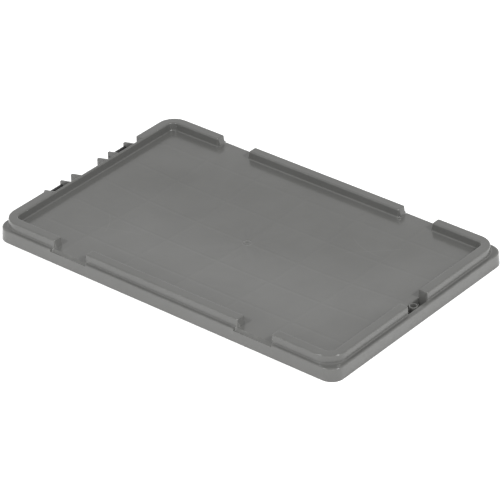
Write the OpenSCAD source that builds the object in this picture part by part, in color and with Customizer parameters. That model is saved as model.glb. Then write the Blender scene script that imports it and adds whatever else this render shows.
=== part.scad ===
// Hinged stacking lid of a straight-wall storage tote.
// The lid lies panel up on the bottom edge of its skirt.
// Origin: middle of the overall footprint, at the bottom edge of the skirt.
// +X points to the seal end, -X to the hinge end, +Z up. Millimetres.

/* [Lid] */
// Overall length, from the hinge ears to the skirt of the seal end
lid_l = 609.6; // [560:0.1:660]
// Overall width across the skirt
lid_w = 381; // [350:0.1:420]
// Height of the panel's upper face above the bottom edge of the skirt
panel_z = 20; // [18:0.5:26]
// Thickness of the panel
panel_t = 3; // [2:0.1:4]
// Thickness of the skirt and of the hollow rim's walls
wall_t = 2.8; // [2:0.1:3.4]
// Corner radius of the skirt
skirt_r = 19; // [17:0.5:24]
// How far the panel sags in the middle
sag = 8.5; // [4:0.5:9]

/* [Stacking rim] */
// Height of the rim above the panel
rim_h = 12.8; // [8:0.1:18]
// Width of the rim over its top
rim_w = 15.5; // [12:0.1:17]
// Width of the ledge between the rim and the skirt along the long sides
ledge_side = 6.1; // [4:0.1:8]
// Width of the ledge between the rim and the skirt at the seal end
ledge_seal = 7.1; // [5:0.1:9]
// Width of the ledge between the rim and the skirt at the hinge end
ledge_hinge = 3.4; // [2:0.1:6]
// Radius of the rim's inner corners
rim_r = 9; // [5:0.5:12]
// Radius of the rim's outer corners
rim_out_r = 28; // [20:0.5:30]
// Distance of the middle of each side gap from the lid's middle
gap_x = 165.5; // [140:0.5:190]
// Length of each side gap
gap_l = 55; // [40:0.5:70]

/* [Seal eyelet] */
// Length of the gap in the rim at the seal end
seal_gap = 40; // [32:0.5:60]
// Depth of the pocket below the panel
pocket_d = 11; // [6:0.5:11]
// Outer diameter of the eyelet
eyelet_od = 13; // [11:0.1:14]
// Hole for the seal or the cable tie
eyelet_id = 9; // [5:0.1:9.5]

/* [Hinge end] */
// Distance from the lid's middle to the near end of the cut-out for the hinge ears
hinge_near = 88.2; // [88:0.1:110]
// Distance from the lid's middle to the far end of the cut-out for the hinge ears
hinge_far = 105.7; // [88:0.1:110]
// Thickness of the wall behind the ears
hinge_wall_t = 3.6; // [2.5:0.1:4]
// Thickness of an ear
ear_t = 2.5; // [2:0.1:3]
// How far an ear's upper edge falls from the wall to its tip
ear_drop = 3.6; // [1:0.1:6]
// Distance of the inner, middle and outer ears from the lid's middle
ear_y = [28.4, 51.3, 85.5];

/* [Hinge clips] */
// Height of the pivot above the bottom edge of the skirt
pivot_z = 20.4; // [19:0.1:27]
// Distance of the pivot from the outer face of the wall
pivot_out = 15.6; // [8:0.1:15.7]
// Radius of the trunnions that turn in the ears
trunnion_r = 2; // [1.6:0.05:2.2]
// Radial clearance between trunnion and ear
pivot_gap = 0.06; // [0.03:0.01:0.1]
// Radius of the clip's barrel
barrel_r = 3.3; // [3:0.1:3.4]
// Width of the clip's leg
leg_w = 26; // [20:0.5:28]
// Thickness of the clip's leg
leg_t = 2.4; // [2:0.1:3]

/* [Ribs under the panel] */
// Spacing of the cross ribs
cross_rib_step = 91.5; // [80:0.5:95]
// Spacing of the long ribs
long_rib_step = 64.3; // [55:0.1:68]
// Thickness of a rib
rib_t = 1.8; // [1.2:0.1:2.5]
// Depth of the grid ribs below the panel
rib_d = 5; // [3:0.5:6]
// Depth below the panel of the fence that centres the tote's mouth
fence_d = 8; // [5:0.5:10]

/* [Hidden] */
$fn = 64;
lid_colour = [0.48, 0.48, 0.46];
clip_colour = [0.10, 0.10, 0.10];

eps = 0.5;                              // overrun of every cut
half_l = lid_l / 2;
half_w = lid_w / 2;
top_z = panel_z + rim_h;
under_z = panel_z - panel_t;

// the rim's outline: outer faces, then inner faces
rim_x1 = half_l - ledge_seal;
rim_y = half_w - ledge_side;
ear_reach = 19;                         // from the wall's outer face to an ear's tip
wall_x = -half_l + ear_reach;           // outer face of the wall behind the ears
rim_in_x0 = wall_x + hinge_wall_t;
rim_in_x1 = rim_x1 - rim_w;
rim_in_y = rim_y - rim_w;
rim_x0 = rim_in_x0 - rim_w;
skirt_x0 = rim_x0 - ledge_hinge;

// the pocket at the seal end
pocket_x0 = rim_in_x1;
pocket_x1 = rim_x1 - 0.5;
pocket_z = panel_z - pocket_d;
pocket_floor_t = 2.8;
eyelet_x = (pocket_x0 + pocket_x1) / 2;
eyelet_top = panel_z + 0.5;

// the panel's sag: it starts this far from the lid's middle, along and across
sag_x = 255;
sag_y = 152;
sag_fn = 1440;                          // fine enough for arcs of such large radius

// the fence under the panel
fence_x = 273;
fence_y = 171;
fence_r = 14;
fence_t = 2;

pivot_x = wall_x - pivot_out;
clip_y = (ear_y[1] + ear_y[2]) / 2;
clip_bay = ear_y[2] - ear_y[1] - ear_t; // clear width between the two ears
side_play = 0.3;                        // between the barrel's end and an ear
leg_z0 = 3;                             // lower end of the clip's leg
hook_reach = 3;                         // from the pivot's axis to the hook's face
hook_t = 2.5;
lip_t = 1.6;
lip_h = 2.5;

// Upright block with rounded corners, from its lowest to its highest corner.
module round_block(x0, x1, y0, y1, z0, z1, r) {
  translate([0, 0, z0])
    linear_extrude(z1 - z0)
      union() {
        translate([x0 + r, y0]) square([x1 - x0 - 2 * r, y1 - y0]);
        translate([x0, y0 + r]) square([x1 - x0, y1 - y0 - 2 * r]);
        for (x = [x0 + r, x1 - r], y = [y0 + r, y1 - r])
          translate([x, y]) circle(r);
      }
}

// Plain block, from its lowest to its highest corner.
module block(x0, x1, y0, y1, z0, z1) {
  translate([x0, y0, z0]) cube([x1 - x0, y1 - y0, z1 - z0]);
}

// The rim's plan, taken in by d from its outer and inner faces.
module rim_ring(d, z0, z1) {
  difference() {
    round_block(rim_x0 + d, rim_x1 - d, -rim_y + d, rim_y - d, z0, z1, rim_out_r - d);
    round_block(rim_in_x0 - d, rim_in_x1 + d, -rim_in_y - d, rim_in_y + d,
                z0 - eps, z1 + eps, rim_r + d);
  }
}

// The gaps in the rim, shortened by d at both ends of each.
module rim_gaps(d, z0, z1) {
  for (sx = [-1, 1], sy = [-1, 1])
    block(sx * gap_x - gap_l / 2 + d, sx * gap_x + gap_l / 2 - d,
          min(sy * (rim_in_y - 1), sy * (half_w + 1)),
          max(sy * (rim_in_y - 1), sy * (half_w + 1)), z0, z1);
  block(rim_in_x1 - 1, half_l + 1, -seal_gap / 2 + d, seal_gap / 2 - d, z0, z1);
}

// Space beyond the wall behind the ears, d wider at each end.
module hinge_space(d) {
  block(-half_l - 1, wall_x, -hinge_near - d, hinge_far + d, -1, top_z + 1);
}

// Radius of an arc that sags by s over a half chord c.
function sag_radius(c, s) = (c * c + s * s) / (2 * s);

// Everything above the panel's sagging face, where that face is moved down by d.
module sag_space(d) {
  r_x = sag_radius(sag_x, sag);
  r_y = sag_radius(sag_y, sag);
  intersection() {
    translate([0, half_w, panel_z - sag + r_x])
      rotate([90, 0, 0]) cylinder(h = lid_w, r = r_x + d, $fn = sag_fn);
    translate([-half_l, 0, panel_z - sag + r_y])
      rotate([0, 90, 0]) cylinder(h = lid_l, r = r_y + d, $fn = sag_fn);
    block(-sag_x - 10, sag_x + 10, -sag_y - 10, sag_y + 10, 0, panel_z + eps);
  }
}

// Skirt and panel, open below.
module tray() {
  difference() {
    round_block(skirt_x0, half_l, -half_w, half_w, 0, panel_z, skirt_r);
    round_block(skirt_x0 + wall_t, half_l - wall_t, -half_w + wall_t, half_w - wall_t,
                -eps, under_z, skirt_r - wall_t);
  }
}

// Raised hollow rim, closed at its ends.
module rim() {
  difference() {
    rim_ring(0, under_z, top_z);
    rim_gaps(0, panel_z, top_z + eps);
  }
}

// The hollow under the rim's top.
module rim_hollow() {
  difference() {
    rim_ring(wall_t, under_z - eps, top_z - wall_t);
    rim_gaps(-wall_t, under_z - 1, top_z);
    hinge_space(wall_t);
  }
}

// The grid's outline, as deep below the panel as its ribs are.
module rib_space() {
  block(-fence_x, fence_x, -fence_y, fence_y, under_z - rib_d, under_z);
  sag_space(panel_t + rib_d);
}

// Fence that centres the tote's mouth, and the grid of ribs inside it.
module ribs() {
  difference() {
    round_block(-fence_x, fence_x, -fence_y, fence_y, under_z - fence_d, under_z, fence_r);
    round_block(-fence_x + fence_t, fence_x - fence_t, -fence_y + fence_t, fence_y - fence_t,
                under_z - fence_d - eps, under_z + eps, fence_r - fence_t);
  }
  intersection() {
    rib_space();
    union() {
      for (i = [-2:2])
        block(i * cross_rib_step - rib_t / 2, i * cross_rib_step + rib_t / 2,
              -fence_y + 1, fence_y - 1, 1, under_z);
      for (i = [-2:2])
        block(-fence_x + 1, fence_x - 1, i * long_rib_step - rib_t / 2,
              i * long_rib_step + rib_t / 2, 1, under_z);
    }
  }
}

// Profile of an ear: x is the reach from the wall, y the height.
module ear_profile() {
  tip_r = 2.5;
  tip_z = top_z - ear_drop;
  foot_z = 4;
  outer_z = 13;
  polygon(concat(
    [[-1, foot_z], [3, foot_z], [ear_reach, outer_z]],
    [for (a = [0:15:75]) [ear_reach - tip_r * (1 - cos(a)), tip_z - tip_r * (1 - sin(a))]],
    [[0, top_z], [-1, top_z]]));
}

// One ear at y, with the pivot hole where a clip turns in it.
module ear(y, drilled) {
  difference() {
    translate([wall_x, y + ear_t / 2, 0])
      mirror([1, 0, 0])
        rotate([90, 0, 0])
          linear_extrude(ear_t) ear_profile();
    if (drilled)
      translate([pivot_x, y + ear_t, pivot_z])
        rotate([90, 0, 0])
          cylinder(h = 2 * ear_t, r = trunnion_r + pivot_gap);
  }
}

// Wall behind the ears and the two walls that close the cut-out's ends.
module hinge_walls() {
  block(wall_x, rim_in_x0, -hinge_near - wall_t, hinge_far + wall_t, 0, top_z);
  for (y = [-hinge_near - wall_t, hinge_far])
    block(skirt_x0 + 1, rim_in_x0, y, y + wall_t, 0, panel_z);
}

// Sunk pocket at the seal end, seen from below as a box.
module pocket_box() {
  block(pocket_x0 - wall_t, half_l - wall_t / 2, -seal_gap / 2 - wall_t, seal_gap / 2 + wall_t,
        pocket_z - pocket_floor_t, panel_z);
}

module lid_shell() {
  color(lid_colour)
    difference() {
      union() {
        difference() {
          union() {
            difference() {
              union() {
                tray();
                rim();
              }
              rim_hollow();
              hinge_space(0);
            }
            ribs();
            sag_space(panel_t);
            hinge_walls();
            pocket_box();
          }
          sag_space(0);
          block(pocket_x0, pocket_x1, -seal_gap / 2, seal_gap / 2, pocket_z, panel_z + eps);
        }
        for (s = [-1, 1]) {
          ear(s * ear_y[0], false);
          ear(s * ear_y[1], true);
          ear(s * ear_y[2], true);
        }
        translate([eyelet_x, 0, pocket_z - eps])
          cylinder(h = eyelet_top - pocket_z + eps, d = eyelet_od);
      }
      translate([eyelet_x, 0, 0]) cylinder(h = top_z, d = eyelet_id);
    }
}

// Clip that holds the lid to the tote: barrel, trunnions, leg and hook.
module hinge_clip(y) {
  barrel_l = clip_bay - 2 * side_play;
  trunnion_l = clip_bay + 2 * ear_t;
  leg_x = pivot_x - barrel_r;
  color(clip_colour)
    translate([0, y, 0])
      union() {
        translate([pivot_x, barrel_l / 2, pivot_z])
          rotate([90, 0, 0]) cylinder(h = barrel_l, r = barrel_r);
        translate([pivot_x, trunnion_l / 2, pivot_z])
          rotate([90, 0, 0]) cylinder(h = trunnion_l, r = trunnion_r);
        block(leg_x, leg_x + leg_t, -leg_w / 2, leg_w / 2, leg_z0, pivot_z);
        block(leg_x, pivot_x + hook_reach, -leg_w / 2, leg_w / 2, leg_z0, leg_z0 + hook_t);
        block(pivot_x + hook_reach - lip_t, pivot_x + hook_reach, -leg_w / 2, leg_w / 2,
              leg_z0, leg_z0 + hook_t + lip_h);
      }
}

module hinge_clip_near() {
  hinge_clip(-clip_y);
}

module hinge_clip_far() {
  hinge_clip(clip_y);
}

lid_shell();
hinge_clip_near();
hinge_clip_far();
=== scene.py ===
import math

import bmesh
import bpy
from mathutils import Matrix, Vector


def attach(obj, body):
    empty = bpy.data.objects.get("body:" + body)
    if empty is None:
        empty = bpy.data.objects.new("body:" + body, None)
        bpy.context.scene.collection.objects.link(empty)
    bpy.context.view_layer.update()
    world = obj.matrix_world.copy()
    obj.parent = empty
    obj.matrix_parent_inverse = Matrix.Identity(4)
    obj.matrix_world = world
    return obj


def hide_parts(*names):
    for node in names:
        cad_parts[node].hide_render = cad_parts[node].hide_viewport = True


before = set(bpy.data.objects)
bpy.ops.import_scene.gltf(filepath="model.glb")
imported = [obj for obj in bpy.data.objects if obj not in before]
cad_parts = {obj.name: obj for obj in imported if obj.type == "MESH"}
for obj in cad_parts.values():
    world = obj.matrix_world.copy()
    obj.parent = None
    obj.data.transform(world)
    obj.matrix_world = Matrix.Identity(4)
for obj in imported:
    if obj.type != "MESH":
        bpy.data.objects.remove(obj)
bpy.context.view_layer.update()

# A grey stacking lid with two black hinge clips. The lid lies panel up on its skirt, its hinge end
# at -x and its seal end at +x. The near side is -y.

# ---- sizes in millimetres, the same as the part's ----
MM = 0.001
PANEL_Z = 20.0
PANEL_T = 3.0
RIM_H = 12.8
RIM_W = 15.5
RIM_IN_X = 282.2
RIM_IN_Y = 168.9
RIM_IN_R = 9.0
RIM_OUT_R = 28.0
SKIRT_R = 19.0
LEDGE_SIDE = 6.1
LEDGE_SEAL = 7.1
LEDGE_HINGE = 3.4
STRAIGHT_X = 268.0                      # the sides are straight up to here
STRAIGHT_Y = 155.0
LEAST_CORNER_R = 4.0                    # of the rings inside the rim
WALL_T = 2.8
SAG = 8.5                               # depth of the panel in the middle
SAG_X = 279.0                           # the sag begins this far from the middle
SAG_Y = 166.0

SIDE_GAPS = ((-193.0, -138.0), (138.0, 193.0))
SEAL_GAP = 20.0                         # half its length
POCKET_D = 11.0
POCKET_FLOOR = 2.8
EYELET_X = 289.7
EYELET_OUT_R = 6.5
EYELET_BORE_R = 4.5
EYELET_TOP = 20.5

HINGE_NEAR = 88.2                       # where the cut-out for the ears ends
HINGE_FAR = 105.7
HINGE_WALL_T = 3.6
WALL_X = -285.8
EAR_REACH = 19.0
EAR_T = 2.5
EAR_Y = (28.4, 51.3, 85.5)
PIVOT_X = -301.4
PIVOT_Z = 20.4
TRUNNION_R = 2.0
BARREL_R = 3.3
CLIP_Y = (EAR_Y[1] + EAR_Y[2]) / 2
CLIP_BAY = EAR_Y[2] - EAR_Y[1] - EAR_T
SIDE_PLAY = 0.3
LEG_W = 26.0
LEG_T = 2.4
LEG_Z0 = 3.0
HOOK_REACH = 3.0
HOOK_T = 2.5

FENCE_X = 273.0
FENCE_Y = 171.0
FENCE_R = 14.0
FENCE_T = 2.0
FENCE_D = 8.0
CROSS_RIB_STEP = 91.5
LONG_RIB_STEP = 64.3
RIBS_EACH_WAY = 5
ROOT = 0.6                              # ribs and fence reach this far up into the panel
RIB_T = 1.8
RIB_D = 5.0

# ---- plain mesh helpers ----


def to_mesh(name, bm):
    """Writes a bmesh drawn in millimetres to a mesh object in metres."""
    bmesh.ops.scale(bm, vec=(MM, MM, MM), verts=bm.verts)
    mesh = bpy.data.meshes.new(name)
    bm.to_mesh(mesh)
    bm.free()
    obj = bpy.data.objects.new(name, mesh)
    bpy.context.scene.collection.objects.link(obj)
    return obj


def join_meshes(name, parts):
    """One mesh object from several, whose own objects are removed."""
    bm = bmesh.new()
    for part in parts:
        bm.from_mesh(part.data)
        bpy.data.objects.remove(part)
    mesh = bpy.data.meshes.new(name)
    bm.to_mesh(mesh)
    bm.free()
    obj = bpy.data.objects.new(name, mesh)
    bpy.context.scene.collection.objects.link(obj)
    return obj


def plate(name, outline, y0, y1, bevel):
    """An outline in x and z made solid between y0 and y1, with its edges rounded."""
    bm = bmesh.new()
    face = bm.faces.new([bm.verts.new((x, y0, z)) for x, z in outline])
    swept = bmesh.ops.extrude_face_region(bm, geom=[face])
    moved = [v for v in swept["geom"] if isinstance(v, bmesh.types.BMVert)]
    bmesh.ops.translate(bm, vec=(0, y1 - y0, 0), verts=moved)
    bmesh.ops.recalc_face_normals(bm, faces=bm.faces)
    sharp = [e for e in bm.edges if e.calc_face_angle(0) > math.radians(35)]
    bmesh.ops.bevel(bm, geom=sharp, offset=bevel, segments=2, profile=0.5, affect="EDGES")
    return to_mesh(name, bm)


def turned(name, profile, centre, axis, segments, closed):
    """A profile of (radius, height) turned about an axis through centre, which runs along z or y."""
    bm = bmesh.new()
    rows = []
    for s in range(segments):
        a = 2 * math.pi * s / segments
        row = []
        for radius, height in profile:
            p = Vector((radius * math.cos(a), radius * math.sin(a), height))
            if axis == "y":
                p = Vector((p.x, p.z, p.y))
            row.append(bm.verts.new(Vector(centre) + p))
        rows.append(row)
    count = len(profile)
    spans = count if closed else count - 1
    for s in range(segments):
        a, b = rows[s], rows[(s + 1) % segments]
        for k in range(spans):
            m = (k + 1) % count
            bm.faces.new((a[k], b[k], b[m], a[m]))
    bmesh.ops.remove_doubles(bm, verts=bm.verts, dist=0.001)
    bmesh.ops.recalc_face_normals(bm, faces=bm.faces)
    return to_mesh(name, bm)


def rod(name, x, z, radius, y0, y1, chamfer):
    """A round rod along y with rounded ends."""
    profile = [(0, y0), (radius - chamfer, y0), (radius - 0.3 * chamfer, y0 + 0.3 * chamfer),
               (radius, y0 + chamfer), (radius, y1 - chamfer),
               (radius - 0.3 * chamfer, y1 - 0.3 * chamfer), (radius - chamfer, y1), (0, y1)]
    return turned(name, profile, (x, 0, z), "y", 40, False)


def cut(obj, tool):
    """Takes the tool's space out of obj."""
    modifier = obj.modifiers.new("cut", "BOOLEAN")
    modifier.operation = "DIFFERENCE"
    modifier.solver = "EXACT"
    modifier.object = tool
    bpy.context.view_layer.update()
    depsgraph = bpy.context.evaluated_depsgraph_get()
    mesh = bpy.data.meshes.new_from_object(obj.evaluated_get(depsgraph))
    obj.modifiers.remove(modifier)
    obj.data = mesh
    bpy.data.objects.remove(tool)


def rounded(corners):
    """Points along a line of corners (u, h, radius, steps); a corner with steps is rounded."""
    points = []
    for i, (u, h, radius, steps) in enumerate(corners):
        here = Vector((u, h))
        if steps == 0:
            points.append(here)
            continue
        back = (Vector(corners[i - 1][:2]) - here).normalized()
        ahead = (Vector(corners[i + 1][:2]) - here).normalized()
        turn = math.pi - back.angle(ahead)
        if turn < 0.03:
            for k in range(steps + 1):
                points.append(here + (ahead - back) * radius * (k / steps - 0.5))
            continue
        centre = here + (back + ahead).normalized() * radius / math.cos(turn / 2)
        reach = radius * math.tan(turn / 2)
        a = here + back * reach - centre
        b = here + ahead * reach - centre
        for k in range(steps + 1):
            t = k / steps
            points.append(centre + (a * math.sin((1 - t) * turn) + b * math.sin(t * turn)) / math.sin(turn))
    return points


# ---- the lid's shell: one section swept round the rim ----

# A section runs outwards over the panel, the rim and the skirt, then back underneath.
# u is the distance out from the rim's inner face, h the height above the panel.
PANEL_RINGS = ((-34.0, 0), (-27.0, 0), (-20.0, 0), (-14.0, 0), (-8.0, 0), (-4.0, 0))
RIM_SECTION = (
    [(u, h, 0, 0) for u, h in PANEL_RINGS]
    + [
        (-0.3, 0.0, 1.8, 4), (0.3, RIM_H, 2.2, 5), (15.2, RIM_H, 2.0, 5), (15.8, 0.0, 1.6, 3),
        (20.9, 0.0, 1.7, 4), (21.6, -PANEL_Z, 0.5, 2), (18.8, -PANEL_Z, 0.5, 2),
        (18.2, -PANEL_T, 0.6, 2), (12.7, -PANEL_T, 0.5, 2), (12.7, 10.0, 0.8, 2),
        (2.8, 10.0, 0.8, 2), (2.8, -PANEL_T, 0.5, 2), (-2.7, -PANEL_T, 0, 0), (-2.9, -PANEL_T, 0, 0),
    ]
    + [(u, -PANEL_T, 0, 0) for u, h in reversed(PANEL_RINGS)]
)
FIRST = len(PANEL_RINGS)                # the corner at the foot of the rim's inner wall


def changed(section, changes):
    """The section with some of its corners moved; the numbers count from the rim's inner foot."""
    section = list(section)
    for number, (u, h, radius) in changes.items():
        section[FIRST + number] = (u, h, radius, section[FIRST + number][3])
    return section


POCKET_UNDER = -POCKET_D - POCKET_FLOOR
POCKET_SECTION = changed(RIM_SECTION, {
    7: (18.2, POCKET_UNDER, 0.6), 8: (12.7, POCKET_UNDER, 0.5), 9: (10.5, POCKET_UNDER, 0.5),
    10: (5.0, POCKET_UNDER, 0.5), 11: (2.8, POCKET_UNDER, 0.5), 12: (-2.8, POCKET_UNDER, 0),
    13: (-2.85, -PANEL_T, 0)})
END_WALL_SECTION = changed(RIM_SECTION, {
    7: (17.0, -PANEL_Z, 0.3), 8: (12.7, -PANEL_Z, 0.3), 9: (9.0, -PANEL_Z, 0.3),
    10: (5.0, -PANEL_Z, 0.3), 11: (2.8, -PANEL_Z, 0.3), 12: (0.0, -PANEL_Z, 0),
    13: (-0.05, -PANEL_T, 0)})
HINGE_WALL_SECTION = changed(END_WALL_SECTION, {
    2: (HINGE_WALL_T, RIM_H, 1.0), 3: (HINGE_WALL_T, 4.0, 0.5), 4: (HINGE_WALL_T, -4.0, 0.5),
    5: (HINGE_WALL_T, -PANEL_Z, 0.4), 6: (3.0, -PANEL_Z, 0.1), 7: (2.6, -PANEL_Z, 0.1),
    8: (2.2, -PANEL_Z, 0.1), 9: (1.8, -PANEL_Z, 0.1), 10: (1.4, -PANEL_Z, 0.1),
    11: (1.0, -PANEL_Z, 0.1)})

# How a rim ends at a gap: distance before the gap, share of the height, and inset of its sides
RIM_END = ((3.8, 1.0, 0.0), (2.8, 0.99, 0.27), (2.1, 0.955, 1.0), (1.8, 0.875, 2.0),
           (-0.6, 0.12, 2.0), (-1.0, 0.03, 2.0), (-2.0, 0.0, 2.0))
SEAL_END = tuple((0.6 * d, k, 0.8 * i) for d, k, i in RIM_END)
HOLLOW_END = 5.0                        # the hollow stops this far before a gap
WIDE_FACE = 4.5                         # faces wider than this get a narrow band along each edge
EDGE_BAND = 0.9
JUST = 0.05                             # stations this far either side of a step in the section
CLEAR_OF_SPECIAL = 3.0                  # evenly spaced stations keep this far from those
INSET_EASE = 5.0                        # the inset grows over this distance from the rim's middle
# points from the section's start to the skirt's crease: the rings and the rim's four rounded corners
RIM_POINTS = FIRST + sum(steps + 1 for u, h, radius, steps in RIM_SECTION[FIRST:FIRST + 4])


def sag_depth(x, y):
    """How far the panel has sunk at a place."""
    if abs(x) >= SAG_X or abs(y) >= SAG_Y:
        return 0.0
    along = (1 - (x / SAG_X) ** 4) ** 2
    across = (1 - (y / SAG_Y) ** 2) ** 2
    return SAG * along * across


def place(u, side, at):
    """Where the ring at u passes a station: a place on a side, or an angle at a corner."""
    d = min(u, RIM_W)
    t = max(0.0, (u - RIM_W) / LEDGE_SIDE)
    x1 = RIM_IN_X + d + t * LEDGE_SEAL
    x0 = RIM_IN_X + d + t * LEDGE_HINGE
    y = RIM_IN_Y + d + t * LEDGE_SIDE
    r = max(RIM_IN_R + d, LEAST_CORNER_R)
    if d > 0:
        r = RIM_IN_R + (RIM_OUT_R - RIM_IN_R) * d / RIM_W + t * (SKIRT_R - RIM_OUT_R)
    if side in ("near", "far"):
        at *= min(1.0, (x1 - r) / STRAIGHT_X)
        return at, (-y if side == "near" else y)
    if side in ("seal", "hinge"):
        at *= min(1.0, (y - r) / STRAIGHT_Y)
        return (x1 if side == "seal" else -x0), at
    c, s = math.cos(at), math.sin(at)
    cx = x1 - r if c + 0.001 > 0 and side in ("near_seal", "seal_far") else r - x0
    cy = y - r if side in ("seal_far", "far_hinge") else r - y
    return cx + r * c, cy + r * s


def side_stations(side):
    """Places along one side, closer together where the section changes."""
    half, count = (STRAIGHT_X, 26) if side in ("near", "far") else (STRAIGHT_Y, 16)
    places = [half * (2 * k / count - 1) for k in range(count + 1)]
    special = []
    if side in ("near", "far"):
        for g0, g1 in SIDE_GAPS:
            for d in [end[0] for end in RIM_END] + [HOLLOW_END + JUST, HOLLOW_END - JUST]:
                special += [g0 - d, g1 + d]
    if side == "seal":
        for d in [end[0] for end in SEAL_END] + [WALL_T + JUST, WALL_T - JUST]:
            special += [-SEAL_GAP - d, SEAL_GAP + d]
    if side == "hinge":
        for y in (-HINGE_NEAR - WALL_T, -HINGE_NEAR, HINGE_FAR, HINGE_FAR + WALL_T):
            special += [y - JUST, y + JUST]
    clear = [p for p in places if all(abs(p - q) > CLEAR_OF_SPECIAL for q in special)]
    return sorted(clear + special)


def end_state(at, gaps, ends):
    """Share of the rim's height and the inset of its sides at a place along a side."""
    for g0, g1 in gaps:
        before = max(g0 - at, at - g1)
        if before <= ends[-1][0] + 0.001:
            return 0.0, ends[-1][2]
        for d, k, i in ends:
            if abs(before - d) < 0.001:
                return k, i
    return 1.0, 0.0


def with_rims(points):
    """The points with two more on each wide face, close to its edges, so that wear stays at the edges."""
    plain = rounded(RIM_SECTION)
    full = []
    for n, p in enumerate(points):
        full.append(p)
        if FIRST <= n < len(points) - FIRST - 1:
            width = (plain[n + 1] - plain[n]).length
            if width > WIDE_FACE:
                full.append(p.lerp(points[n + 1], EDGE_BAND / width))
                full.append(p.lerp(points[n + 1], 1 - EDGE_BAND / width))
    return full


def section_at(side, at):
    """The section's points (u, h) at a station."""
    height, inset, floor, hollow = 1.0, 0.0, 0.0, 1.0
    section = RIM_SECTION
    if side in ("near", "far"):
        height, inset = end_state(at, SIDE_GAPS, RIM_END)
        if any(g0 - HOLLOW_END < at < g1 + HOLLOW_END for g0, g1 in SIDE_GAPS):
            hollow = 0.0
    if side == "seal":
        height, inset = end_state(at, ((-SEAL_GAP, SEAL_GAP),), SEAL_END)
        floor = -POCKET_D / RIM_H
        if abs(at) < SEAL_GAP + WALL_T:
            section = POCKET_SECTION
    if side == "hinge" and -HINGE_NEAR - WALL_T < at < HINGE_FAR + WALL_T:
        section = END_WALL_SECTION
        if -HINGE_NEAR < at < HINGE_FAR:
            section = HINGE_WALL_SECTION
    lift = floor + (1 - floor) * height
    points = []
    for n, (u, h) in enumerate(rounded(section)):
        if FIRST <= n < RIM_POINTS:
            u += inset * max(-1.0, min(1.0, (RIM_W / 2 - u) / INSET_EASE))
            h *= lift
        if n >= RIM_POINTS and h > -PANEL_T and section is RIM_SECTION:
            h = -PANEL_T + (h + PANEL_T) * hollow
        points.append(Vector((u, h)))
    return with_rims(points)


def swept_shell():
    """The panel, the hollow rim and the skirt as one closed mesh."""
    corner_steps = 10
    stations = []
    order = (("near", 1), ("near_seal", -90), ("seal", 1), ("seal_far", 0), ("far", -1),
             ("far_hinge", 90), ("hinge", -1), ("hinge_near", 180))
    for side, way in order:
        if "_" in side:
            for k in range(corner_steps + 1):
                stations.append((side, math.radians(way + 90 * k / corner_steps)))
        else:
            stations += [(side, at) for at in side_stations(side)[::way]]
    inner_rings = 13
    middle = RIM_IN_X - RIM_IN_Y        # the panel's rings shrink to a line of this half length
    bm = bmesh.new()
    rows = []
    for side, at in stations:
        row = []
        for u, h in section_at(side, at):
            x, y = place(u, side, at)
            row.append(Vector((x, y, PANEL_Z + h)))
        heart = Vector((max(-middle, min(middle, row[0].x)), 0, row[0].z))
        inner = [row[0].lerp(heart, k / inner_rings) for k in range(inner_rings, 0, -1)]
        under = [Vector((p.x, p.y, row[-1].z)) for p in reversed(inner)]
        line = inner + row + under
        half = len(inner) + FIRST + 1
        for n, p in enumerate(line):
            if n < half or n > len(line) - half - 2:
                p.z -= sag_depth(p.x, p.y)
        rows.append([bm.verts.new(p) for p in line])
    for a, b in zip(rows, rows[1:] + rows[:1]):
        for k in range(len(a) - 1):
            bm.faces.new((a[k], a[k + 1], b[k + 1], b[k]))
    bmesh.ops.remove_doubles(bm, verts=bm.verts, dist=0.002)
    bmesh.ops.dissolve_degenerate(bm, dist=0.001, edges=bm.edges)
    bmesh.ops.recalc_face_normals(bm, faces=bm.faces)
    return to_mesh("shell", bm)


def fence():
    """The upright fence under the panel that centres the tote's mouth."""
    bm = bmesh.new()
    z0 = PANEL_Z - PANEL_T - FENCE_D
    z1 = PANEL_Z - PANEL_T + ROOT
    section = ((0, z1), (0.15, z0 + 0.5), (0.5, z0), (FENCE_T - 0.5, z0),
               (FENCE_T - 0.15, z0 + 0.5), (FENCE_T, z1))
    rows = []
    for cx, cy, start in ((1, -1, -90), (1, 1, 0), (-1, 1, 90), (-1, -1, 180)):
        for k in range(9):
            a = math.radians(start + 90 * k / 8)
            row = []
            for inward, z in section:
                r = FENCE_R - inward
                x = cx * (FENCE_X - FENCE_R) + r * math.cos(a)
                y = cy * (FENCE_Y - FENCE_R) + r * math.sin(a)
                row.append(bm.verts.new((x, y, z)))
            rows.append(row)
    count = len(section)
    for a, b in zip(rows, rows[1:] + rows[:1]):
        for k in range(count):
            m = (k + 1) % count
            bm.faces.new((a[k], a[m], b[m], b[k]))
    bmesh.ops.recalc_face_normals(bm, faces=bm.faces)
    return to_mesh("fence", bm)


def rib(length):
    """One long rib along x, drafted and with a rounded foot, before it follows the sag."""
    bm = bmesh.new()
    z0 = PANEL_Z - PANEL_T - RIB_D
    z1 = PANEL_Z - PANEL_T + ROOT
    half = RIB_T / 2
    section = ((-half, z1), (-half + 0.15, z0 + 0.4), (-half + 0.45, z0),
               (half - 0.45, z0), (half - 0.15, z0 + 0.4), (half, z1))
    spans = 48
    rows = []
    for k in range(spans + 1):
        x = length * (k / spans - 0.5)
        rows.append([bm.verts.new((x, y, z)) for y, z in section])
    for a, b in zip(rows, rows[1:]):
        for k in range(len(section)):
            m = (k + 1) % len(section)
            bm.faces.new((a[k], a[m], b[m], b[k]))
    bm.faces.new(rows[0])
    bm.faces.new(rows[-1])
    bmesh.ops.recalc_face_normals(bm, faces=bm.faces)
    return to_mesh("rib", bm)


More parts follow.
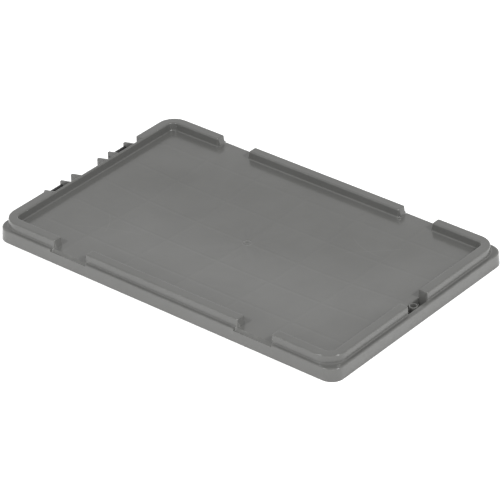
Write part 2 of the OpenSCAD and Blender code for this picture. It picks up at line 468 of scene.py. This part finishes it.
def ear():
    """One hinge ear: a plate that reaches out from the wall, at y = 0."""
    tip_r = 2.5
    foot_z = 4.0
    knee_z = 13.0
    top_z = PANEL_Z + RIM_H
    tip_z = top_z - 3.6
    outline = [(WALL_X + 1.5, foot_z), (WALL_X - 3.0, foot_z), (WALL_X - EAR_REACH, knee_z)]
    for a in range(0, 90, 15):
        c, s = math.cos(math.radians(a)), math.sin(math.radians(a))
        outline.append((WALL_X - EAR_REACH + tip_r * (1 - c), tip_z - tip_r * (1 - s)))
    outline += [(WALL_X - 0.5, top_z - 0.2), (WALL_X + 1.5, top_z - 0.6)]
    return plate("ear", outline, -EAR_T / 2, EAR_T / 2, 0.35)


def row_of_copies():
    """A node tree that repeats a piece: how many, where the first one is, and the step."""
    tree = bpy.data.node_groups.new("row of copies", "GeometryNodeTree")
    face = tree.interface
    face.new_socket("Piece", in_out="INPUT", socket_type="NodeSocketGeometry")
    face.new_socket("Count", in_out="INPUT", socket_type="NodeSocketInt")
    face.new_socket("First", in_out="INPUT", socket_type="NodeSocketVector")
    face.new_socket("Step", in_out="INPUT", socket_type="NodeSocketVector")
    face.new_socket("Finish", in_out="INPUT", socket_type="NodeSocketMaterial")
    face.new_socket("Row", in_out="OUTPUT", socket_type="NodeSocketGeometry")
    given = tree.nodes.new("NodeGroupInput")
    made = tree.nodes.new("NodeGroupOutput")
    line = tree.nodes.new("GeometryNodeMeshLine")
    line.mode = "OFFSET"
    copies = tree.nodes.new("GeometryNodeInstanceOnPoints")
    real = tree.nodes.new("GeometryNodeRealizeInstances")
    paint = tree.nodes.new("GeometryNodeSetMaterial")
    link = tree.links.new
    link(given.outputs["Count"], line.inputs["Count"])
    link(given.outputs["First"], line.inputs["Start Location"])
    link(given.outputs["Step"], line.inputs["Offset"])
    link(line.outputs["Mesh"], copies.inputs["Points"])
    link(given.outputs["Piece"], copies.inputs["Instance"])
    link(copies.outputs["Instances"], real.inputs["Geometry"])
    link(real.outputs["Geometry"], paint.inputs["Geometry"])
    link(given.outputs["Finish"], paint.inputs["Material"])
    link(paint.outputs["Geometry"], made.inputs["Row"])
    return tree


def repeat(piece, tree, count, first, step, finish):
    """Runs the row tree on a piece and keeps the result as a plain mesh."""
    modifier = piece.modifiers.new("row", "NODES")
    modifier.node_group = tree
    keys = {s.name: s.identifier for s in tree.interface.items_tree if s.in_out == "INPUT"}
    modifier[keys["Count"]] = count
    modifier[keys["First"]] = [v * MM for v in first]
    modifier[keys["Step"]] = [v * MM for v in step]
    modifier[keys["Finish"]] = finish
    bpy.context.view_layer.update()
    depsgraph = bpy.context.evaluated_depsgraph_get()
    mesh = bpy.data.meshes.new_from_object(piece.evaluated_get(depsgraph))
    piece.modifiers.remove(modifier)
    piece.data = mesh
    return piece


def rib_grid(tree, finish):
    """The grid of ribs under the panel, lowered with the panel's sag."""
    rows = []
    long_rib = rib(2 * FENCE_X - 2)
    rows.append(repeat(long_rib, tree, RIBS_EACH_WAY, (0, -2 * LONG_RIB_STEP, 0),
                       (0, LONG_RIB_STEP, 0), finish))
    cross_rib = rib(2 * FENCE_Y - 2)
    cross_rib.data.transform(Matrix.Rotation(math.pi / 2, 4, "Z"))
    rows.append(repeat(cross_rib, tree, RIBS_EACH_WAY, (-2 * CROSS_RIB_STEP, 0, 0),
                       (CROSS_RIB_STEP, 0, 0), finish))
    grid = join_meshes("ribs", rows)
    for v in grid.data.vertices:
        v.co.z -= MM * sag_depth(v.co.x / MM, v.co.y / MM)
    return grid


def ears(tree, finish):
    """The three pairs of ears, bored where the clips turn in them."""
    pairs = []
    for y in EAR_Y:
        pairs.append(repeat(ear(), tree, 2, (0, -y, 0), (0, 2 * y, 0), finish))
    row = join_meshes("ears", pairs)
    for s in (-1, 1):
        y0, y1 = sorted((s * (EAR_Y[1] - 4), s * (EAR_Y[2] + 4)))
        cut(row, rod("bore", PIVOT_X, PIVOT_Z, TRUNNION_R + 0.1, y0, y1, 0.1))
    return row


def eyelet():
    """The eyelet for a seal, standing in its pocket."""
    z0 = PANEL_Z + POCKET_UNDER
    out_r, in_r = EYELET_OUT_R, EYELET_BORE_R
    top = EYELET_TOP
    profile = [(in_r + 0.3, z0), (out_r, z0), (out_r, PANEL_Z - POCKET_D + 0.6),
               (out_r - 0.1, top - 0.8), (out_r - 0.3, top - 0.3), (out_r - 0.8, top),
               (in_r + 0.7, top), (in_r + 0.2, top - 0.25), (in_r, top - 0.8), (in_r, z0 + 0.3)]
    return turned("eyelet", profile, (EYELET_X, 0, 0), "z", 48, True)


LEAST_RUBBED_TURN = math.radians(9)     # edges flatter than this don't wear
FULLY_RUBBED_TURN = math.radians(35)
SHARP_TURN = math.radians(32)           # edges sharper than this are shaded as creases


def mark_edges(obj):
    """Writes how exposed each vertex is to rubbing: 1 on sharp outward edges, 0 on flats."""
    bm = bmesh.new()
    bm.from_mesh(obj.data)
    layer = bm.verts.layers.float.new("rubbed")
    for e in bm.edges:
        if len(e.link_faces) == 2:
            turn = e.calc_face_angle_signed(0)
            if turn > LEAST_RUBBED_TURN:
                strength = min(1.0, turn / FULLY_RUBBED_TURN)
                for v in e.verts:
                    v[layer] = max(v[layer], strength)
    bm.to_mesh(obj.data)
    bm.free()


def finish_piece(obj, material, body, node):
    """Smooths a piece, gives it its material and ties it to its place in the frame."""
    mark_edges(obj)
    obj.data.materials.clear()
    obj.data.materials.append(material)
    for p in obj.data.polygons:
        p.use_smooth = True
        p.material_index = 0
    obj.data.set_sharp_from_angle(angle=SHARP_TURN)
    weighted = obj.modifiers.new("even shading", "WEIGHTED_NORMAL")
    weighted.keep_sharp = True
    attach(obj, body)
    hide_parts(node)


# ---- materials ----


def node(tree, kind, inputs=None, **settings):
    """Adds a node; an input is either a plain value or another node's socket."""
    made = tree.nodes.new(kind)
    for key, value in settings.items():
        setattr(made, key, value)
    for key, value in (inputs or {}).items():
        if isinstance(value, bpy.types.NodeSocket):
            tree.links.new(value, made.inputs[key])
        else:
            made.inputs[key].default_value = value
    return made


def calc(tree, operation, *values):
    """A math node's result."""
    made = node(tree, "ShaderNodeMath", dict(enumerate(values)), operation=operation)
    return made.outputs[0]


def ramp(tree, value, low, high, to_low=0.0, to_high=1.0):
    """A smooth step of a value from low to high."""
    made = node(tree, "ShaderNodeMapRange",
                {"Value": value, "From Min": low, "From Max": high, "To Min": to_low, "To Max": to_high},
                interpolation_type="SMOOTHSTEP")
    return made.outputs["Result"]


def shader_group(name, inputs, outputs):
    """An empty shader group with named float or vector inputs and float outputs."""
    tree = bpy.data.node_groups.new(name, "ShaderNodeTree")
    for label, kind, default in inputs:
        socket = tree.interface.new_socket(label, in_out="INPUT", socket_type="NodeSocket" + kind)
        socket.default_value = default
    for label in outputs:
        tree.interface.new_socket(label, in_out="OUTPUT", socket_type="NodeSocketFloat")
    return tree, tree.nodes.new("NodeGroupInput").outputs, tree.nodes.new("NodeGroupOutput").inputs


def grain_group():
    """Fine moulded grain and slow mottling of a plastic surface."""
    tree, given, made = shader_group(
        "moulded grain",
        [("Grain", "Float", 900.0), ("Mottle", "Float", 30.0)],
        ["Height", "Mottling"])
    spot = node(tree, "ShaderNodeTexCoord").outputs["Object"]
    fine = node(tree, "ShaderNodeTexNoise",
                {"Vector": spot, "Scale": given["Grain"], "Detail": 3.0, "Roughness": 0.6})
    slow = node(tree, "ShaderNodeTexNoise",
                {"Vector": spot, "Scale": given["Mottle"], "Detail": 4.0, "Roughness": 0.55})
    tree.links.new(fine.outputs[0], made["Height"])
    tree.links.new(slow.outputs[0], made["Mottling"])
    return tree


def rubbed_group():
    """Rubbing along outward edges, broken up by noise."""
    tree, given, made = shader_group(
        "rubbed edges", [("Breaks", "Float", 120.0), ("Amount", "Float", 1.0)], ["Mask"])
    spot = node(tree, "ShaderNodeTexCoord").outputs["Object"]
    edge = node(tree, "ShaderNodeAttribute", attribute_name="rubbed").outputs["Fac"]
    noise = node(tree, "ShaderNodeTexNoise",
                 {"Vector": spot, "Scale": given["Breaks"], "Detail": 5.0, "Roughness": 0.65})
    broken = ramp(tree, noise.outputs[0], 0.42, 0.68)
    mask = calc(tree, "MULTIPLY", calc(tree, "MULTIPLY", edge, broken), given["Amount"])
    tree.links.new(mask, made["Mask"])
    return tree


def smudge_group():
    """Soft patches where hands and stacked totes have dulled the surface."""
    tree, given, made = shader_group(
        "handling smudges", [("Size", "Float", 9.0), ("Amount", "Float", 1.0)], ["Mask"])
    spot = node(tree, "ShaderNodeTexCoord").outputs["Object"]
    noise = node(tree, "ShaderNodeTexNoise",
                 {"Vector": spot, "Scale": given["Size"], "Detail": 6.0, "Roughness": 0.6,
                  "Distortion": 0.8})
    mask = calc(tree, "MULTIPLY", ramp(tree, noise.outputs[0], 0.5, 0.72), given["Amount"])
    tree.links.new(mask, made["Mask"])
    return tree


def scratch_group():
    """One thin scratch between two places on the panel."""
    tree, given, made = shader_group(
        "scratch",
        [("From", "Vector", (0, 0, 0)), ("To", "Vector", (0.05, 0, 0)), ("Width", "Float", 0.0006),
         ("Bow", "Float", 0.0)],
        ["Mask"])
    spot = node(tree, "ShaderNodeTexCoord").outputs["Object"]

    def vector(operation, a, b):
        return node(tree, "ShaderNodeVectorMath", {0: a, 1: b}, operation=operation).outputs

    flat = vector("MULTIPLY", spot, (1, 1, 0))[0]
    reach = vector("SUBTRACT", flat, given["From"])[0]
    along = vector("SUBTRACT", given["To"], given["From"])[0]
    share = calc(tree, "DIVIDE", vector("DOT_PRODUCT", reach, along)[1],
                 vector("DOT_PRODUCT", along, along)[1])
    across = vector("CROSS_PRODUCT", reach, along)[0]
    length = node(tree, "ShaderNodeVectorMath", {0: along}, operation="LENGTH").outputs[1]
    side = calc(tree, "DIVIDE", node(tree, "ShaderNodeSeparateXYZ", {0: across}).outputs[2], length)
    bend = calc(tree, "MULTIPLY", calc(tree, "MULTIPLY", share, calc(tree, "SUBTRACT", 1.0, share)),
                given["Bow"])
    off = calc(tree, "ABSOLUTE", calc(tree, "SUBTRACT", side, bend))
    line = ramp(tree, calc(tree, "DIVIDE", off, given["Width"]), 0.2, 1.0, 1.0, 0.0)
    ends = calc(tree, "MULTIPLY", ramp(tree, share, 0.0, 0.15), ramp(tree, share, 0.85, 1.0, 1.0, 0.0))
    tree.links.new(calc(tree, "MULTIPLY", line, ends), made["Mask"])
    return tree


def plastic(name):
    """An empty plastic material: the material, its tree and its main shader."""
    material = bpy.data.materials.new(name)
    material.use_nodes = True
    tree = material.node_tree
    shader = tree.nodes["Principled BSDF"]
    return material, tree, shader


def use(tree, kind, **values):
    """Places a shader group in a material with its own values."""
    made = tree.nodes.new("ShaderNodeGroup")
    made.node_tree = kind
    for key, value in values.items():
        made.inputs[key].default_value = value
    return made.outputs


def mixed(tree, share, a, b):
    """Colour a turning into colour b by a share."""
    made = node(tree, "ShaderNodeMix", data_type="RGBA")
    for socket, value in ((made.inputs["Factor"], share), (made.inputs[6], a), (made.inputs[7], b)):
        if isinstance(value, bpy.types.NodeSocket):
            tree.links.new(value, socket)
        else:
            socket.default_value = value
    return made.outputs[2]


GREY = (0.104, 0.104, 0.100, 1)
GREY_LIGHT = (0.112, 0.112, 0.108, 1)
GREY_DARK = (0.070, 0.070, 0.067, 1)
RUBBED_GREY = (0.20, 0.20, 0.19, 1)
BLACK = (0.010, 0.010, 0.010, 1)
RUBBED_BLACK = (0.045, 0.045, 0.045, 1)


def lid_plastic(grain, rubbed, smudges, scratch):
    """Grey polypropylene with its gate mark, flow marks, sink lines and scuffs."""
    material, tree, shader = plastic("lid_plastic")
    spot = node(tree, "ShaderNodeTexCoord").outputs["Object"]
    x, y, z = node(tree, "ShaderNodeSeparateXYZ", {0: spot}).outputs
    surface = use(tree, grain, Grain=700.0, Mottle=14.0)
    worn = use(tree, rubbed, Breaks=90.0, Amount=0.75)["Mask"]
    dull = use(tree, smudges, Size=7.0, Amount=0.6)["Mask"]
    on_panel = ramp(tree, z, (PANEL_Z + 0.6) * MM, (PANEL_Z + 1.2) * MM, 1.0, 0.0)

    # the gate in the middle of the panel, with the plastic's flow fanning out from it
    squares = calc(tree, "ADD", calc(tree, "MULTIPLY", x, x), calc(tree, "MULTIPLY", y, y))
    from_gate = calc(tree, "SQRT", squares)
    turn = calc(tree, "ARCTAN2", y, x)
    fan_place = node(tree, "ShaderNodeCombineXYZ",
                     {0: calc(tree, "MULTIPLY", turn, 2.2), 1: calc(tree, "MULTIPLY", from_gate, 18.0)})
    fan = node(tree, "ShaderNodeTexNoise",
               {"Vector": fan_place.outputs[0], "Scale": 1.6, "Detail": 3.0, "Distortion": 0.6})
    near_gate = calc(tree, "MULTIPLY", ramp(tree, from_gate, 0.012, 0.085, 1.0, 0.0), on_panel)
    flow = calc(tree, "MULTIPLY", ramp(tree, fan.outputs[0], 0.42, 0.62), near_gate)
    core = calc(tree, "MULTIPLY", ramp(tree, from_gate, 0.0018, 0.0032, 1.0, 0.0), on_panel)
    ring = calc(tree, "ABSOLUTE", calc(tree, "SUBTRACT", from_gate, 0.0062))
    dimple = calc(tree, "MULTIPLY", ramp(tree, ring, 0.0, 0.0016, 1.0, 0.0), on_panel)

    # faint sink lines where the ribs stand under the panel
    def sink(value, step):
        """1 above a rib and 0 away from it, for ribs a step apart."""
        shifted = calc(tree, "ADD", calc(tree, "DIVIDE", value, step * MM), 0.5)
        off = calc(tree, "ABSOLUTE", calc(tree, "SUBTRACT", calc(tree, "FRACT", shifted), 0.5))
        return ramp(tree, calc(tree, "MULTIPLY", off, step), 0.0, 4.5, 1.0, 0.0)

    sinks = calc(tree, "MULTIPLY", calc(tree, "MAXIMUM", sink(x, CROSS_RIB_STEP), sink(y, LONG_RIB_STEP)),
                 on_panel)
    marks = None
    for start, end, bow in (((0.110, 0.097, 0), (0.185, 0.077, 0), 0.03),
                            ((0.195, 0.112, 0), (0.120, 0.052, 0), 0.0),
                            ((-0.115, -0.073, 0), (-0.220, -0.123, 0), 0.02),
                            ((-0.205, -0.060, 0), (-0.170, -0.110, 0), -0.02)):
        one = use(tree, scratch, From=start, To=end, Width=0.0009, Bow=bow)["Mask"]
        marks = one if marks is None else calc(tree, "MAXIMUM", marks, one)
    marks = calc(tree, "MULTIPLY", marks, on_panel)

    colour = mixed(tree, ramp(tree, surface["Mottling"], 0.3, 0.7), GREY, GREY_LIGHT)
    colour = mixed(tree, calc(tree, "MULTIPLY", flow, 0.12), colour, GREY_DARK)
    colour = mixed(tree, calc(tree, "MULTIPLY", dull, 0.2), colour, GREY_DARK)
    colour = mixed(tree, calc(tree, "MULTIPLY", core, 0.6), colour, GREY_DARK)
    colour = mixed(tree, calc(tree, "MULTIPLY", marks, 0.10), colour, RUBBED_GREY)
    colour = mixed(tree, calc(tree, "MULTIPLY", worn, 0.35), colour, RUBBED_GREY)
    tree.links.new(colour, shader.inputs["Base Color"])

    gloss = calc(tree, "ADD", calc(tree, "MULTIPLY", surface["Mottling"], 0.07), 0.15)
    gloss = calc(tree, "ADD", gloss, calc(tree, "MULTIPLY", dull, 0.10))
    gloss = calc(tree, "ADD", gloss, calc(tree, "MULTIPLY", worn, 0.15))
    tree.links.new(gloss, shader.inputs["Roughness"])

    height = calc(tree, "MULTIPLY", surface["Height"], 0.02)
    height = calc(tree, "SUBTRACT", height, calc(tree, "MULTIPLY", sinks, 0.09))
    height = calc(tree, "SUBTRACT", height, calc(tree, "MULTIPLY", dimple, 0.30))
    height = calc(tree, "SUBTRACT", height, calc(tree, "MULTIPLY", marks, 0.03))
    bump = node(tree, "ShaderNodeBump", {"Height": height, "Distance": 0.001, "Strength": 1.0})
    tree.links.new(bump.outputs[0], shader.inputs["Normal"])
    return material


def clip_plastic(grain, rubbed, smudges):
    """Black nylon of the hinge clips, a little rougher than the lid."""
    material, tree, shader = plastic("clip_plastic")
    surface = use(tree, grain, Grain=1300.0, Mottle=60.0)
    worn = use(tree, rubbed, Breaks=260.0, Amount=0.9)["Mask"]
    dull = use(tree, smudges, Size=40.0, Amount=0.8)["Mask"]
    colour = mixed(tree, calc(tree, "MULTIPLY", dull, 0.35), BLACK, RUBBED_BLACK)
    colour = mixed(tree, calc(tree, "MULTIPLY", worn, 0.6), colour, RUBBED_BLACK)
    tree.links.new(colour, shader.inputs["Base Color"])
    gloss = calc(tree, "ADD", calc(tree, "MULTIPLY", surface["Mottling"], 0.12), 0.30)
    tree.links.new(calc(tree, "ADD", gloss, calc(tree, "MULTIPLY", worn, 0.1)), shader.inputs["Roughness"])
    bump = node(tree, "ShaderNodeBump",
                {"Height": calc(tree, "MULTIPLY", surface["Height"], 0.03), "Distance": 0.001})
    tree.links.new(bump.outputs[0], shader.inputs["Normal"])
    return material


grain = grain_group()
rubbed = rubbed_group()
smudges = smudge_group()
scratch = scratch_group()
grey_plastic = lid_plastic(grain, rubbed, smudges, scratch)
black_plastic = clip_plastic(grain, rubbed, smudges)

# ---- the lid ----
copies = row_of_copies()
shell = swept_shell()
hole_r = (EYELET_OUT_R + EYELET_BORE_R) / 2
hole = turned("hole", [(0, 0), (hole_r, 0), (hole_r, PANEL_Z - 2), (0, PANEL_Z - 2)],
              (EYELET_X, 0, 0), "z", 48, False)
cut(shell, hole)
lid = join_meshes("lid", [shell, fence(), rib_grid(copies, grey_plastic), ears(copies, grey_plastic),
                          eyelet()])
finish_piece(lid, grey_plastic, "lid", "lid_shell")


# ---- the hinge clips ----


def hinge_clip(name, cad_node, y):
    """A clip that turns in the ears and hooks under the tote's edge: barrel, pins, leg and hook."""
    barrel = CLIP_BAY / 2 - SIDE_PLAY
    pin = CLIP_BAY / 2 + EAR_T
    leg_x = PIVOT_X - BARREL_R
    hook_x = PIVOT_X + HOOK_REACH
    outline = [(leg_x, PIVOT_Z), (leg_x, LEG_Z0 + 0.8), (leg_x + 0.8, LEG_Z0),
               (hook_x - 0.6, LEG_Z0), (hook_x, LEG_Z0 + 0.6), (hook_x, LEG_Z0 + HOOK_T + 1.2),
               (hook_x - 0.7, LEG_Z0 + HOOK_T + 2.5), (hook_x - 1.6, LEG_Z0 + HOOK_T + 2.5),
               (hook_x - 1.6, LEG_Z0 + HOOK_T), (leg_x + LEG_T + 0.6, LEG_Z0 + HOOK_T),
               (leg_x + LEG_T, LEG_Z0 + HOOK_T + 0.6), (leg_x + LEG_T, PIVOT_Z - 1.0)]
    parts = [
        rod("barrel", PIVOT_X, PIVOT_Z, BARREL_R, y - barrel, y + barrel, 0.4),
        rod("pins", PIVOT_X, PIVOT_Z, TRUNNION_R, y - pin, y + pin, 0.3),
        plate("leg", outline, y - LEG_W / 2, y + LEG_W / 2, 0.3),
    ]
    for s in (-1, 0, 1):
        web = [(leg_x + 1.0, PIVOT_Z - 2.0), (leg_x + 1.0, LEG_Z0 + 1.0), (hook_x - 2.2, LEG_Z0 + 1.0),
               (hook_x - 2.2, LEG_Z0 + HOOK_T + 0.3), (leg_x + LEG_T + 0.9, LEG_Z0 + HOOK_T + 5.0),
               (leg_x + LEG_T + 0.9, PIVOT_Z - 2.4)]
        middle = y + s * (LEG_W / 2 - 1.4)
        parts.append(plate("web", web, middle - 0.7, middle + 0.7, 0.2))
    clip = join_meshes(name, parts)
    finish_piece(clip, black_plastic, name, cad_node)


hinge_clip("clip_near", "hinge_clip_near", -CLIP_Y)
hinge_clip("clip_far", "hinge_clip_far", CLIP_Y)

# ---- floor, light and camera ----


def studio_floor():
    """A wide pale floor that glows a little, like a light table."""
    bm = bmesh.new()
    size = 30000.0
    below = -0.2                        # just under the lid's skirt
    corners = ((-size, -size), (size, -size), (size, size), (-size, size))
    bm.faces.new([bm.verts.new((x, y, below)) for x, y in corners])
    floor = to_mesh("floor", bm)
    material = bpy.data.materials.new("pale_floor")
    material.use_nodes = True
    tree = material.node_tree
    shader = tree.nodes["Principled BSDF"]
    shader.inputs["Base Color"].default_value = (0.9, 0.9, 0.9, 1)
    shader.inputs["Roughness"].default_value = 0.9
    shader.inputs["Emission Color"].default_value = (1, 1, 1, 1)
    shader.inputs["Emission Strength"].default_value = 0.40
    floor.data.materials.append(material)


def studio_light():
    """Even white surroundings with a soft lamp on each side."""
    world = bpy.data.worlds.new("studio")
    world.use_nodes = True
    tree = world.node_tree
    sky = node(tree, "ShaderNodeSeparateXYZ", {0: node(tree, "ShaderNodeTexCoord").outputs["Generated"]})
    strength = ramp(tree, sky.outputs[2], 0.25, 0.95, 1.02, 0.52)
    tree.links.new(strength, tree.nodes["Background"].inputs["Strength"])
    tree.nodes["Background"].inputs["Color"].default_value = (1, 1, 1, 1)
    bpy.context.scene.world = world
    for name, turn, rise, distance, size, power in (
            ("lamp_left", -11.5, 42.0, 3.0, 0.35, 38.0),
            ("lamp_right", 92.5, 42.0, 3.0, 0.35, 42.0)):
        a, e = math.radians(turn), math.radians(rise)
        spot = Vector((math.sin(a) * math.cos(e), -math.cos(a) * math.cos(e), math.sin(e))) * distance
        lamp = bpy.data.lights.new(name, "AREA")
        lamp.size = size
        lamp.energy = power
        obj = bpy.data.objects.new(name, lamp)
        obj.location = spot
        obj.rotation_euler = (-spot).to_track_quat("-Z", "Y").to_euler()
        bpy.context.scene.collection.objects.link(obj)


def camera():
    """The camera, looking down on the lid from beyond its near corner at the seal end."""
    turn = math.radians(40.535)
    rise = math.radians(31.888)
    roll = math.radians(-1.853)
    distance = 4.3418
    target = Vector((0.0243, -0.0229, 0.020))
    back = Vector((math.sin(turn) * math.cos(rise), -math.cos(turn) * math.cos(rise), math.sin(rise)))
    right = Vector((math.cos(turn), math.sin(turn), 0))
    up = back.cross(right)
    tilted = right * math.cos(roll) + up * math.sin(roll)
    upright = up * math.cos(roll) - right * math.sin(roll)
    lens = bpy.data.cameras.new("camera")
    lens.sensor_width = 36.0
    lens.lens = 225.88
    lens.clip_end = 100.0
    obj = bpy.data.objects.new("camera", lens)
    axes = Matrix((tilted, upright, back)).transposed().to_4x4()
    obj.matrix_world = Matrix.Translation(target + back * distance) @ axes
    bpy.context.scene.collection.objects.link(obj)
    bpy.context.scene.camera = obj


studio_floor()
studio_light()
camera()
bpy.context.scene.view_settings.view_transform = "Standard"
